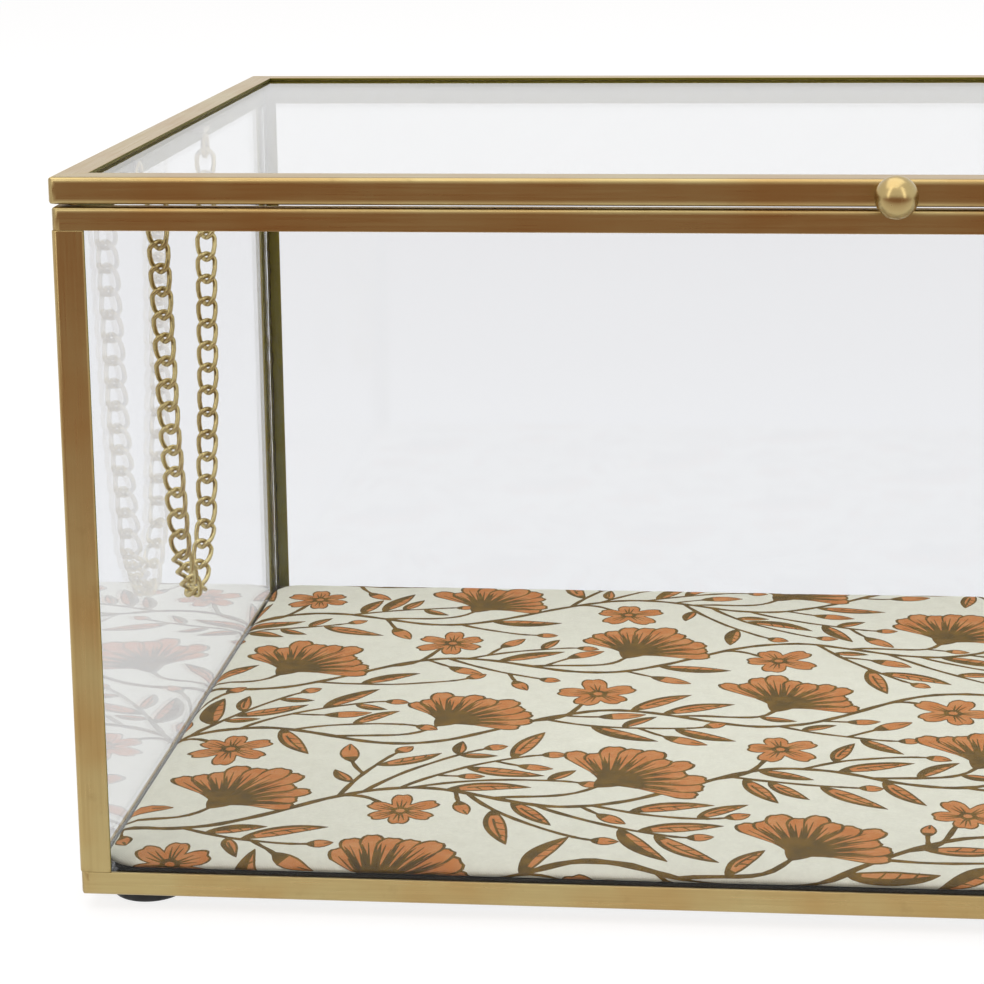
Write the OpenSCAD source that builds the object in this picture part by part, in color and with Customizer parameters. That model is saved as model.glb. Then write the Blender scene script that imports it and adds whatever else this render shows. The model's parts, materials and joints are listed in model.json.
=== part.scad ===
// Glass casket box: clear panels held in bent brass strip, a glass lid on two barrel hinges,
// a curb chain that stops the lid, and a padded fabric insert on the base.
// The origin is on the ground under the middle of the whole part. +Z is up and the knob
// faces -Y.

/* [Case] */
// Width across the lid, the widest part
lid_w = 260; // [200:1:320]
// Depth of the case from front to back
case_d = 160; // [130:1:200]
// Height from the ground to the top of the lid
total_h = 120.5; // [105:0.5:160]
// How far the lid overhangs the case at the front and the sides
overhang = 0.3; // [0:0.1:1]

/* [Brass frame] */
// Thickness of the brass strip
sheet = 0.6; // [0.4:0.1:0.7]
// Outer radius of the strip's bends
bend_r = 0.9; // [0.8:0.1:1.1]
// Height of the lid's channel rails
lid_rail_h = 4.3; // [4:0.1:6]
// Width of the lid rails' flanges
lid_flange = 5.3; // [4.5:0.1:7]
// Height of the rim that caps the walls
rim_h = 3.7; // [3.5:0.1:5]
// Open gap between the rim and the closed lid
lid_gap = 0.4; // [0.4:0.1:0.6]
// Width of each leg of a corner post
post_leg = 5.2; // [4:0.1:7]
// Height of the bottom rails
base_rail_h = 4; // [3.5:0.1:5]
// Width of the flange under the base panel
base_flange = 3; // [2.5:0.1:3.1]
// Radius of the frame's corners, seen from above
corner_r = 1.5; // [0.5:0.1:1.7]

/* [Glass] */
// Thickness of the walls and of the base panel
glass_t = 2; // [1.6:0.1:2.2]
// Leg of the clear glue bead in each inner corner
bead = 1.3; // [1:0.1:1.6]

/* [Feet] */
// Diameter of a foot
foot_d = 12.6; // [8:0.1:12.6]
// Height of the bottom rails above the ground
foot_show = 2.5; // [1.5:0.1:4]
// Distance from the case's outer faces to the middle of a foot
foot_inset = 9.4; // [9.4:0.1:14]

/* [Pad] */
// Thickness of the card inside the pad
card_t = 0.8; // [0.5:0.1:1.5]
// Height of the padding on the card, at the pad's edge
pad_h = 2.3; // [1:0.1:3]
// How much higher the middle of the pad stands
pad_crown = 0.5; // [0.1:0.1:1.5]
// Width of the rounded edge of the pad
pad_edge = 4; // [3:0.5:12]
// Gap between the pad and the glass
pad_gap = 0.9; // [0.6:0.1:2]

/* [Knob] */
// Diameter of the ball
knob_d = 6.6; // [5:0.1:9]
// Distance from the lid's face to the middle of the ball
knob_out = 4.1; // [3.8:0.1:6]
// Diameter of the neck behind the ball
neck_d = 3; // [2:0.1:4]

/* [Hinges] */
// Length of each hinge
hinge_len = 24; // [16:1:40]
// Distance from the middle of the case to each hinge
hinge_x = 82; // [60:1:85]
// Outer radius of the barrel
knuckle_r = 1.5; // [1.3:0.1:1.8]
// Radius of the pin
pin_r = 0.6; // [0.5:0.05:0.7]
// Running clearance between the pin and its bore
pin_play = 0.05; // [0.03:0.01:0.08]

/* [Chain] */
// Distance from one link to the next
link_pitch = 4.15; // [4.1:0.05:4.2]
// Outer length of a link
link_len = 6.2; // [6.2:0.05:6.4]
// Outer width of a link
link_w = 4.1; // [4:0.05:4.3]
// Diameter of the wire
wire_d = 0.9; // [0.8:0.05:0.95]
// Twist from the middle of a link to each end
link_twist = 45; // [40:1:50]
// Radius of the bend on each side of the chain's lowest link
chain_bend = 5.5; // [5.4:0.1:7]
// Distance from the rim's inner face to the middle of the chain
chain_in = 3.9; // [3.5:0.1:8]

/* [Hidden] */
$fn = 48;
SIDES = ["front", "back", "left", "right"];
CORNERS = ["front_left", "front_right", "back_left", "back_right"];
HINGES = ["left", "right"];
// Links that move as one stiff run, from the lid's eye to the case's eye
CHAIN_RUNS = [
    ["rear_top", 10], ["rear_middle", 6], ["rear_low", 3], ["turn", 1],
    ["front_low", 3], ["front_middle", 6], ["front_top", 10]
];
LOWEST_RUN = 3;

BRASS = [0.62, 0.50, 0.31];
BRASS_DARK = [0.48, 0.37, 0.22];
GLASS = [0.80, 0.88, 0.86, 0.3];
RUBBER = [0.08, 0.08, 0.08];
FABRIC = [0.89, 0.88, 0.83];
CARD = [0.70, 0.62, 0.50];

// Gap between a barrel and the faces that swing past it
barrel_gap = 0.3;
// The part reaches from the front of the knob to the back of the barrels, and the origin is
// under the middle of that
knob_reach = overhang + knob_out + knob_d / 2;
hinge_reach = barrel_gap + 2 * knuckle_r;
mid_y = (knob_reach - hinge_reach) / 2;
front_y = mid_y - case_d / 2;
back_y = mid_y + case_d / 2;
lid_front_y = front_y - overhang;
case_w = lid_w - 2 * overhang;

rail_z = foot_show;
post_z = rail_z + base_rail_h;
floor_z = rail_z + sheet + glass_t;
lid_z = total_h - lid_rail_h;
rim_top = lid_z - lid_gap;
rim_z = rim_top - rim_h;
// From a case's outer face to the inner face of its glass, and to that of the rim's cap
wall_in = sheet + glass_t;
rim_in = wall_in + sheet;
inner_x = case_w / 2 - wall_in;
inner_y = case_d / 2 - wall_in;
rim_inner_x = case_w / 2 - rim_in;
chain_x = rim_inner_x - chain_in;

axis_y = back_y + barrel_gap + knuckle_r;
axis_z = rim_top + lid_gap / 2;
leaf_reach = 3.5;
knuckles = 5;
knuckle_gap = 0.2;
pin_head_r = 1;
pin_head_t = 0.4;

// The wires of two hooked links pass each other this far beyond their shared joint
hook = (link_len - wire_d - link_pitch) / 2;
// An eye is a ring that a link's end slides round, this far from the ring's own wire
eye_r = 2;
eye_wire = 0.8;
eye_slack = 1.25;
// From the middle of an eye to the joint that starts or ends the chain's first or last run
eye_to_joint = eye_r - eye_slack + hook;
eye_plate_t = 0.8;
eye_plate_d = 5;
eye_stem = 0.6;
// The case's eye lies flat beside the chain, which swings past it as the lid opens
eye_gap = 0.4;
lid_eye = [mid_y - 0.5, lid_z - eye_plate_t - eye_stem - eye_r];

link_arc_step = 30;
wire_sides = 6;

pad_corner_r = 5;
pad_corner_steps = 6;
pad_rows = 7;
// The card stops short of the cloth that wraps it
cloth_wrap = 0.5;
card_corner_r = pad_corner_r - cloth_wrap;
foot_edge_r = 0.7;
collar_t = 0.5;
collar_lip = 0.5;

// ---- helpers ----

// Moves a rail drawn along X, with its outer face on -Y, to one side of a frame
module on_side(side, w, y0, y1) {
    ym = (y0 + y1) / 2;
    if (side == "front") translate([0, y0, 0]) children();
    if (side == "back") translate([0, y1, 0]) rotate(180) children();
    if (side == "left") translate([-w / 2, ym, 0]) rotate(-90) children();
    if (side == "right") translate([w / 2, ym, 0]) rotate(90) children();
}

// Mirrors what is drawn for the front left corner to the named corner
module on_corner(corner) {
    right = corner == "front_right" || corner == "back_right";
    back = corner == "back_left" || corner == "back_right";
    translate([0, mid_y, 0])
        mirror([right ? 1 : 0, 0, 0]) mirror([0, back ? 1 : 0, 0])
            translate([-case_w / 2, -case_d / 2, 0]) children();
}

function frame_len(side, w, d) = side == "front" || side == "back" ? w : d;

// What rounding by r takes off an outer corner at the origin
module round_cut(r) {
    difference() {
        translate([-1, -1]) square(r + 1);
        translate([r, r]) circle(r);
    }
}

module bend_cut() {
    round_cut(bend_r);
}

// A rail of the length given along X, from a profile of [in from the outer face, up], with
// both ends mitred at 45 degrees and its half of each rounded corner
module mitred_rail(len, in, h) {
    intersection() {
        translate([-len / 2, 0, 0]) rotate([90, 0, 90]) linear_extrude(len) children();
        linear_extrude(h) difference() {
            polygon([[-len / 2, 0], [len / 2, 0], [len / 2 - in, in], [in - len / 2, in]]);
            for (end = [0, 1])
                mirror([end, 0]) translate([-len / 2, 0]) round_cut(corner_r);
        }
    }
}

// ---- frame profiles, [in from the outer face, up] ----

module lid_channel() {
    difference() {
        square([lid_flange, lid_rail_h]);
        translate([sheet, sheet]) square([lid_flange, lid_rail_h - 2 * sheet]);
        bend_cut();
        translate([0, lid_rail_h]) mirror([0, 1]) bend_cut();
    }
}

module rim_cap() {
    difference() {
        square([rim_in, rim_h]);
        translate([sheet, -sheet]) square([glass_t, rim_h]);
        translate([0, rim_h]) mirror([0, 1]) bend_cut();
        translate([rim_in, rim_h]) mirror([0, 1]) mirror([1, 0]) bend_cut();
    }
}

module base_angle() {
    difference() {
        square([base_flange, base_rail_h]);
        translate([sheet, sheet]) square([base_flange, base_rail_h]);
        bend_cut();
    }
}

// ---- case ----

module bottom_rail(side) {
    color(BRASS)
        on_side(side, case_w, front_y, back_y) translate([0, 0, rail_z])
            mitred_rail(frame_len(side, case_w, case_d), base_flange, base_rail_h) base_angle();
}

module rim_rail(side) {
    color(BRASS)
        on_side(side, case_w, front_y, back_y) translate([0, 0, rim_z])
            mitred_rail(frame_len(side, case_w, case_d), rim_in, rim_h) rim_cap();
}

// A bent angle that stands between the bottom rails and the rim, with its free edges eased
module corner_post(corner) {
    ease = sheet / 2;
    color(BRASS)
        on_corner(corner) translate([0, 0, post_z]) linear_extrude(rim_z - post_z)
            difference() {
                square(post_leg);
                translate([sheet, sheet]) square(post_leg);
                bend_cut();
                translate([post_leg, 0]) rotate(45) square(ease * sqrt(2), center = true);
                translate([0, post_leg]) rotate(45) square(ease * sqrt(2), center = true);
            }
}

module base_glass() {
    color(GLASS)
        translate([-case_w / 2 + sheet, front_y + sheet, rail_z + sheet])
            cube([case_w - 2 * sheet, case_d - 2 * sheet, glass_t]);
}

// The front and back panes run the full width, and the side panes stand between them
module wall_glass(side) {
    across = side == "front" || side == "back";
    len = across ? case_w - 2 * sheet : case_d - 2 * wall_in;
    color(GLASS)
        on_side(side, case_w, front_y, back_y)
            translate([-len / 2, sheet, floor_z]) cube([len, glass_t, rim_top - sheet - floor_z]);
}

// Clear glue in the four inner corners, up to the rim
module corner_sealant() {
    color(GLASS)
        for (c = CORNERS)
            on_corner(c) translate([wall_in, wall_in, floor_z]) linear_extrude(rim_z - floor_z)
                difference() {
                    square(bead);
                    translate([bead, bead]) circle(bead);
                }
}

// Soft round foot, glued to the base panel
module foot(corner) {
    h = rail_z + sheet;
    edge = foot_edge_r;
    color(RUBBER)
        on_corner(corner) translate([foot_inset, foot_inset, 0])
            rotate_extrude() union() {
                translate([0, edge]) square([foot_d / 2, h - edge]);
                square([foot_d / 2 - edge, h]);
                translate([foot_d / 2 - edge, edge]) circle(edge);
            }
}

// ---- insert ----

module pad_card() {
    w = inner_x - pad_gap - cloth_wrap;
    d = inner_y - pad_gap - cloth_wrap;
    r = card_corner_r;
    color(CARD)
        translate([0, mid_y, floor_z]) linear_extrude(card_t) union() {
            square([2 * (w - r), 2 * d], center = true);
            square([2 * w, 2 * (d - r)], center = true);
            for (x = [-1, 1], y = [-1, 1]) translate([x * (w - r), y * (d - r)]) circle(r);
        }
}

// Points of a rounded rectangle with half sizes w and d, moved in by e
function pad_ring(w, d, e, z) = [
    for (q = [0:3], i = [0:pad_corner_steps])
        let (a = 90 * (q + i / pad_corner_steps),
             r = max(pad_corner_r - e, 0.5),
             sx = q == 0 || q == 3 ? 1 : -1,
             sy = q < 2 ? 1 : -1)
        [sx * (w - e - r) + r * cos(a), sy * (d - e - r) + r * sin(a), z]
];

// Padding and its cloth: a low cushion with a rounded edge and a slight crown
module fabric_pad() {
    w = inner_x - pad_gap;
    d = inner_y - pad_gap;
    n = 4 * (pad_corner_steps + 1);
    rows = [for (k = [0:pad_rows])
        let (t = 90 * k / pad_rows) pad_ring(w, d, pad_edge * (1 - cos(t)), pad_h * sin(t))];
    points = concat([for (row = rows, p = row) p], [[0, 0, 0], [0, 0, pad_h + pad_crown]]);
    low = len(points) - 2;
    faces = concat(
        [for (k = [0:pad_rows - 1], i = [0:n - 1])
            let (a = k * n + i, b = k * n + (i + 1) % n) each [[a, a + n, b], [b, a + n, b + n]]],
        [for (i = [0:n - 1]) [low, i, (i + 1) % n]],
        [for (i = [0:n - 1]) [low + 1, pad_rows * n + (i + 1) % n, pad_rows * n + i]]
    );
    color(FABRIC) translate([0, mid_y, floor_z + card_t]) polyhedron(points, faces);
}

// ---- lid ----

module lid_rail(side) {
    color(BRASS)
        on_side(side, lid_w, lid_front_y, back_y) translate([0, 0, lid_z])
            mitred_rail(frame_len(side, lid_w, back_y - lid_front_y), lid_flange, lid_rail_h)
                lid_channel();
}

module lid_glass() {
    color(GLASS)
        translate([-lid_w / 2 + sheet, lid_front_y + sheet, lid_z + sheet])
            cube([lid_w - 2 * sheet, back_y - lid_front_y - 2 * sheet, lid_rail_h - 2 * sheet]);
}

// Ball on a short neck with a collar, soldered to the front rail
module knob() {
    color(BRASS)
        translate([0, lid_front_y, lid_z + lid_rail_h / 2]) rotate([90, 0, 0]) {
            translate([0, 0, knob_out]) sphere(d = knob_d);
            cylinder(h = knob_out, d = neck_d);
            cylinder(h = collar_t, r = neck_d / 2 + collar_lip);
        }
}

// ---- hinges ----

// A leaf with the pin's axis on X and its plate on the -Y side. up is 1 for a plate that
// rises from the axis and -1 for one that hangs
module hinge_leaf(own, up) {
    plate_y = -knuckle_r - barrel_gap;
    clear = knuckle_r + barrel_gap;
    pitch = hinge_len / knuckles;
    difference() {
        union() {
            translate([-hinge_len / 2, plate_y, up > 0 ? clear : -leaf_reach])
                cube([hinge_len, sheet, leaf_reach - clear]);
            for (k = own) translate([(k - knuckles / 2) * pitch + knuckle_gap / 2, 0, 0]) {
                rotate([0, 90, 0]) cylinder(h = pitch - knuckle_gap, r = knuckle_r);
                translate([0, plate_y, up > 0 ? 0 : -clear])
                    cube([pitch - knuckle_gap, sheet, clear]);
            }
        }
        rotate([0, 90, 0])
            cylinder(h = 2 * hinge_len, r = pin_r + pin_play, center = true);
    }
}

module at_hinge(side) {
    translate([side == "left" ? -hinge_x : hinge_x, axis_y, axis_z]) children();
}

module hinge_leaf_case(side) {
    color(BRASS_DARK) at_hinge(side) hinge_leaf([0, 2, 4], -1);
}

module hinge_leaf_lid(side) {
    color(BRASS_DARK) at_hinge(side) hinge_leaf([1, 3], 1);
}

module hinge_pin(side) {
    half = hinge_len / 2 - knuckle_gap / 2;
    color(BRASS) at_hinge(side) rotate([0, 90, 0]) {
        cylinder(h = 2 * half, r = pin_r, center = true);
        for (s = [-1, 1]) translate([0, 0, s * (half + pin_head_t / 2)])
            cylinder(h = pin_head_t, r = pin_head_r, center = true);
    }
}

// ---- chain ----

// Wire ring that holds an end of the chain, in the plane at x, at [y, z]
module eye_ring(x, at) {
    translate([x, at[0], at[1]])
        rotate([0, 90, 0]) rotate_extrude() translate([eye_r, 0]) circle(d = eye_wire, $fn = 24);
}

module chain_eye_lid() {
    plate_x = barrel_gap - rim_inner_x;
    color(BRASS) union() {
        translate([plate_x, lid_eye[0] - eye_plate_d / 2, lid_z - eye_plate_t])
            cube([eye_wire / 2 - chain_x - plate_x, eye_plate_d, eye_plate_t]);
        translate([-chain_x, lid_eye[0], lid_eye[1] + eye_r])
            cylinder(h = eye_stem + eye_plate_t / 2, d = eye_wire, $fn = 24);
        eye_ring(-chain_x, lid_eye);
    }
}

module chain_eye_case() {
    last = len(CHAIN_RUNS) - 1;
    at = run_end(last) - eye_to_joint * run_way(last);
    ring_x = -chain_x - link_w / 2 - eye_gap - eye_wire / 2;
    color(BRASS) union() {
        translate([-rim_inner_x, at[0], at[1] + eye_r])
            rotate([0, 90, 0]) cylinder(h = ring_x + rim_inner_x, d = eye_wire, $fn = 24);
        eye_ring(ring_x, at);
    }
}

// Links before the middle of run g, and the slope of the hanging chain at a distance s along
// it from the middle of its lowest link, which lies flat
function links_before(g) = g == 0 ? 0 : links_before(g - 1) + CHAIN_RUNS[g - 1][1];
function links_to_middle(g) = links_before(g) + CHAIN_RUNS[g][1] / 2;
function slope_at(s) = sign(s) * atan(max(abs(s) - link_pitch / 2, 0) / chain_bend);
function run_angle(g) =
    slope_at(link_pitch * (links_to_middle(LOWEST_RUN) - links_to_middle(g)));
// [y, z] of the way back along run g, where it hooks into the one before, and where it ends
function run_way(g) = [cos(run_angle(g)), sin(run_angle(g))];
function run_start(g) = g == 0 ? lid_eye - eye_to_joint * run_way(0) : run_end(g - 1);
function run_end(g) = run_start(g) - link_pitch * CHAIN_RUNS[g][1] * run_way(g);

// Middle line of a link, an oval along Z, as [x, z, angle of its outward normal]
function oval() =
    let (r = (link_w - wire_d) / 2, half = (link_len - link_w) / 2)
    concat([for (a = [0:link_arc_step:180]) [r * cos(a), half + r * sin(a), a]],
           [for (a = [180:link_arc_step:360]) [r * cos(a), -half + r * sin(a), a]]);

// One curb link: the oval twisted about its length, and swept with the round wire
module link() {
    path = oval();
    n = len(path);
    m = wire_sides;
    rate = link_twist / ((link_len - wire_d) / 2);
    points = [for (p = path, j = [0:m - 1])
        let (b = 360 * j / m,
             out = wire_d / 2 * cos(b),
             x = p[0] + out * cos(p[2]),
             z = p[1] + out * sin(p[2]),
             y = wire_d / 2 * sin(b),
             t = rate * p[1])
        [x * cos(t) - y * sin(t), x * sin(t) + y * cos(t), z]];
    faces = [for (i = [0:n - 1], j = [0:m - 1])
        let (k = (i + 1) % n, l = (j + 1) % m)
        each [[i * m + j, k * m + j, i * m + l], [i * m + l, k * m + j, k * m + l]]];
    polyhedron(points, faces);
}

module chain_run(g) {
    color(BRASS)
        for (i = [0:CHAIN_RUNS[g][1] - 1])
            let (p = run_start(g) - link_pitch * (i + 0.5) * run_way(g))
            translate([-chain_x, p[0], p[1]]) rotate([run_angle(g) - 90, 0, 0]) link();
}

// ---- nodes ----

base_glass();
pad_card();
fabric_pad();
corner_sealant();
lid_glass();
knob();
chain_eye_lid();
chain_eye_case();
for (s = SIDES) bottom_rail(s);
for (s = SIDES) rim_rail(s);
for (s = SIDES) wall_glass(s);
for (s = SIDES) lid_rail(s);
for (c = CORNERS) corner_post(c);
for (c = CORNERS) foot(c);
for (h = HINGES) hinge_leaf_case(h);
for (h = HINGES) hinge_leaf_lid(h);
for (h = HINGES) hinge_pin(h);
for (g = [0:len(CHAIN_RUNS) - 1])
    chain_run(g);
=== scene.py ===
"""Glass casket box: brass strip frame, clear panels, curb chain and a printed fabric pad."""

import cmath
import json
import math
import random

import bmesh
import bpy
import numpy as np
from mathutils import Matrix, Vector, geometry, noise


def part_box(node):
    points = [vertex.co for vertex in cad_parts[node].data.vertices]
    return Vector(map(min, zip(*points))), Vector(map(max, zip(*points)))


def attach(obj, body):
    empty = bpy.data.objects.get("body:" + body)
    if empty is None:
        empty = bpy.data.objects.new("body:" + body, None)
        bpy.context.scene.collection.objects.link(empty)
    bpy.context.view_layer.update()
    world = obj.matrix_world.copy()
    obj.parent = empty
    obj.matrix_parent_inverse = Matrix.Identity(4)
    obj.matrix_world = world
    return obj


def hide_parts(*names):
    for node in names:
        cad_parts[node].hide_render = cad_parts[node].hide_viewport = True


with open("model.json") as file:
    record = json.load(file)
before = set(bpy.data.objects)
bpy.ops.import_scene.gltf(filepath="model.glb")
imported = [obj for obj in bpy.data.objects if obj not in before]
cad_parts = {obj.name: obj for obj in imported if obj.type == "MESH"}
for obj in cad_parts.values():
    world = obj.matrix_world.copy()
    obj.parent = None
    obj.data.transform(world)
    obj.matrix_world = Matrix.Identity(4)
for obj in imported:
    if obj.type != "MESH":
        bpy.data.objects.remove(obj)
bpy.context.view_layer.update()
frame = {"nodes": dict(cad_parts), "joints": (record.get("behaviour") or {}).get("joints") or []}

nodes = frame["nodes"]
mm = 0.001

# ---- camera: 984 px square picture ----

PICTURE = 984
FOCAL = 2550 / PICTURE
SENSOR = 36 * mm
CAMERA_AT = Vector((-19.63, -459.85, 173.42)) * mm
PITCH, YAW, ROLL = (math.radians(a) for a in (10.701, -5.391, -0.603))
SHIFT = (-0.035, -0.19)

# ---- sizes ----

EDGE_BEVEL = 0.28 * mm
GLASS_BEVEL = 0.15 * mm
AIR_GAP = 0.02 * mm

# the chain and its eyes: part.scad's own values and names
link_pitch = 4.15 * mm
link_len = 6.2 * mm
link_w = 4.1 * mm
wire_d = 0.9 * mm
link_twist = math.radians(45)
eye_r = 2 * mm
eye_wire = 0.8 * mm

LINK_STEPS = 48
WIRE_STEPS = 12

# the middle of the case, in m
MIDDLE_Y = 2.2 * mm

# the pad, in mm: half its width and depth, and its heights
PAD_HALF = (126.65, 76.95)
PAD_TOP = 8.25
CARD_TOP = 5.9
PAD_CROWN = 0.4                 # how far the middle rises
PAD_CORNER = 1.2                # radius of the corners of the flat top
PAD_EDGE = 4.6                  # how far the roll at the edge reaches out from the flat top
PAD_ROUND = 1.3                 # how far it drops on the way
PAD_ROLL = 5.0                  # how much cloth that takes
PAD_TURN = math.radians(120)    # how far the cloth turns in all
PAD_CLOTH = 6.6                 # how much cloth there is past the flat top
PAD_HEM = 1.6                   # how far its edge is then turned in

# spacing of the cloth's points: on its cut edge, in rows along that edge, and on the flat top
CUT_STEP = 1.3
HEM_ROW, HEM_STEP = 0.7, 1.7
TOP_STEP = 3.1

# the print, in mm; an ink is its material slot on the pad
RED, BROWN = 1, 2
PRINT_SEED = 11
VINE_GAP = 35                   # between main stems
VINE_WAVE = 66                  # length of a stem's wave
VINE_SWAY = 6.5                 # half its height
VINE_SLOPE = 0.2
VINE_WIDTHS = (1.35, 1.15)      # of a stroke, at its start and at its end
BRANCH_WIDTHS = (1.15, 0.95)
SHOOT_WIDTHS = (1.05, 0.8)
SHOOTS = ((26, 3.6), (20, 3.2), (15, 3.0))      # length, and free room on each side
LEAVES = ((14.5, 3.9), (12.5, 3.6), (10.5, 3.3), (8.5, 3.0), (7, 2.7), (5, 2.2))  # length, width
BUD_SHARE = 0.34
SHADED_SHARE = 0.45

# the glue in the corners, in mm
GLUE_CORNER = (127.1, 77.4)
GLUE_LOW, GLUE_HIGH = 5.2, 111.8
GLUE_LEG = 0.95
GLUE_STEPS, GLUE_TURNS = 150, 9

# ---- floor, room and lamps, in m ----

FLOOR_REACH = 4.0
FLOOR_GREY = (0.8, 0.8, 0.8, 1)     # to light that spreads from it
FLOOR_DULL = 0.75                   # as seen: darker than white by this, for the shadow
FLOOR_GLOW = 0.82                   # as seen: brighter by this
FADE_FROM, FADE_TO = -0.09, -0.52   # where on y the floor turns into the dim room, in reflections
SKY_STRENGTH = 0.72                 # as light on the object; seen, it is 1

# the dim room, by direction: from none to all of it on y, and on z
ROOM_AHEAD, ROOM_LOW = (-0.2, -0.7), (0.30, 0.06)
SHADE_AHEAD, SHADE_HIGH = (0.05, -0.35), (0.9, 0.55)

# each lamp's place, the point it faces, its size and how bright it looks
LAMPS = {
    "overhead": ((-0.2, 0.1, 1.5), (0, 0, 0.06), (1.9, 1.6), 1.12),
    "strip_left": ((-0.75, -0.75, 0.72), (0, -0.08, 0.1), (0.22, 1.2), 1.9),
    "strip_right": ((0.65, -0.85, 0.72), (0, -0.08, 0.1), (0.22, 1.2), 1.9),
}

# ---- colours, as sRGB ----

BRASS = (0.72, 0.645, 0.45)
BRASS_WARM = (0.69, 0.565, 0.36)
BRASS_AGED = (0.50, 0.39, 0.22)
# painted shade on brass faces that face into the box: olive brown on the rails, more olive on the posts
BRASS_INSIDE_SHADE = (0.45, 0.42, 0.18)
POST_INSIDE_SHADE = (0.54, 0.515, 0.16)
CHAIN_BRASS = (0.80, 0.74, 0.54)
CHAIN_WARM = (0.69, 0.61, 0.41)
HINGE_BRASS = (0.56, 0.46, 0.30)
GLASS = (0.952, 0.956, 0.962)
GLUE = (0.86, 0.87, 0.80)
RUBBER = (0.045, 0.045, 0.045)
# painted shade: the board is dark so that its edge shows as the shaded gap under the pad
CARD_PAINTED_SHADE = (0.20, 0.18, 0.14)
CLOTH = (0.955, 0.957, 0.885)
CLOTH_FADED = (0.93, 0.93, 0.855)
PRINT_RED = (0.81, 0.505, 0.235)
PRINT_RED_FADED = (0.85, 0.60, 0.365)
PRINT_BROWN = (0.38, 0.29, 0.02)
PRINT_BROWN_FADED = (0.54, 0.40, 0.05)
RUBBER_DUST = (0.13, 0.12, 0.11)
CARD_FIBRE = (0.13, 0.12, 0.09)
WHITE = (1, 1, 1, 1)
BLACK = (0, 0, 0, 1)
ROOM = (0.60, 0.44, 0.34)

# ---- finishes ----

ROUND_GRAIN = 0.25      # the share of a strip's streaks that a round piece shows
THREAD = 0.42 * mm      # spacing of the cotton's threads


def linear(colour):
    """A colour for a shader's socket from one as a screen shows it."""
    return tuple(c / 12.92 if c <= 0.04045 else ((c + 0.055) / 1.055) ** 2.4 for c in colour) + (1,)


# ---- shader helpers ----

class Shader:
    """A material's or a world's node tree, with nodes added by name."""

    def __init__(self, owner):
        owner.use_nodes = True
        self.tree = owner.node_tree
        self.tree.nodes.clear()

    def add(self, kind, settings=None, **inputs):
        """Adds a node. A setting is one of its properties. An input is a value or a socket,
        and its name is the socket's, with _ for a space, or i and its number."""
        node = self.tree.nodes.new(kind)
        for name, value in (settings or {}).items():
            setattr(node, name, value)
        for name, value in inputs.items():
            key = int(name[1:]) if name[1:].isdigit() else name.replace("_", " ")
            self.put(node.inputs[key], value)
        return node

    def put(self, socket, value):
        """Links a socket to an input, or sets the input's own value."""
        if isinstance(value, bpy.types.NodeSocket):
            self.tree.links.new(value, socket)
        else:
            socket.default_value = value

    def place(self, scale=(1, 1, 1)):
        """The point being shaded, in metres in the frame, times scale."""
        at = self.add("ShaderNodeTexCoord").outputs["Object"]
        return self.add("ShaderNodeMapping", Vector=at, Scale=scale).outputs[0]

    def noise(self, scale, detail=2.0, rough=0.5, stretch=(1, 1, 1)):
        """Noise with this many lumps a metre. A small stretch draws them out along an axis."""
        node = self.add("ShaderNodeTexNoise", Vector=self.place(stretch), Scale=scale,
                        Detail=detail, Roughness=rough)
        return node.outputs["Fac"]

    def range(self, value, low, high, to_low, to_high):
        """A value from low to high turned into one from to_low to to_high, and no further."""
        node = self.add("ShaderNodeMapRange", i0=value, i1=low, i2=high, i3=to_low, i4=to_high)
        return node.outputs[0]

    def math(self, operation, a, b=0.0):
        """The result of a Math node."""
        return self.add("ShaderNodeMath", {"operation": operation}, i0=a, i1=b).outputs[0]

    def blend(self, share, a, b):
        """Colour a, with this share of colour b."""
        node = self.add("ShaderNodeMix", {"data_type": "RGBA"}, i0=share, i6=a, i7=b)
        return node.outputs[2]

    def bump(self, height, distance, strength=1.0, normal=None):
        """A normal for relief this deep, over another normal or the surface's own."""
        inputs = {"Height": height, "Distance": distance, "Strength": strength}
        if normal is not None:
            inputs["Normal"] = normal
        return self.add("ShaderNodeBump", **inputs).outputs[0]


def material(name):
    """A new material with its shader, its Principled node and its output."""
    mat = bpy.data.materials.new(name)
    shader = Shader(mat)
    surface = shader.add("ShaderNodeBsdfPrincipled")
    out = shader.add("ShaderNodeOutputMaterial", Surface=surface.outputs[0])
    return mat, shader, surface, out


# ---- materials ----

def facing_in(s):
    """1 where a surface faces the middle of the box, where brass gets painted shade and more roughness.
    """
    tex = s.add("ShaderNodeTexCoord").outputs
    at = s.add("ShaderNodeSeparateXYZ", i0=tex["Object"]).outputs
    way = s.add("ShaderNodeSeparateXYZ", i0=tex["Normal"]).outputs
    across = s.math("MULTIPLY", s.math("SIGN", at[0]), way[0])
    deep = s.math("MULTIPLY", s.math("SIGN", s.math("SUBTRACT", at[1], MIDDLE_Y)), way[1])
    return s.range(s.math("MINIMUM", across, deep), -0.75, -0.9, 0, 1)


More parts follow.
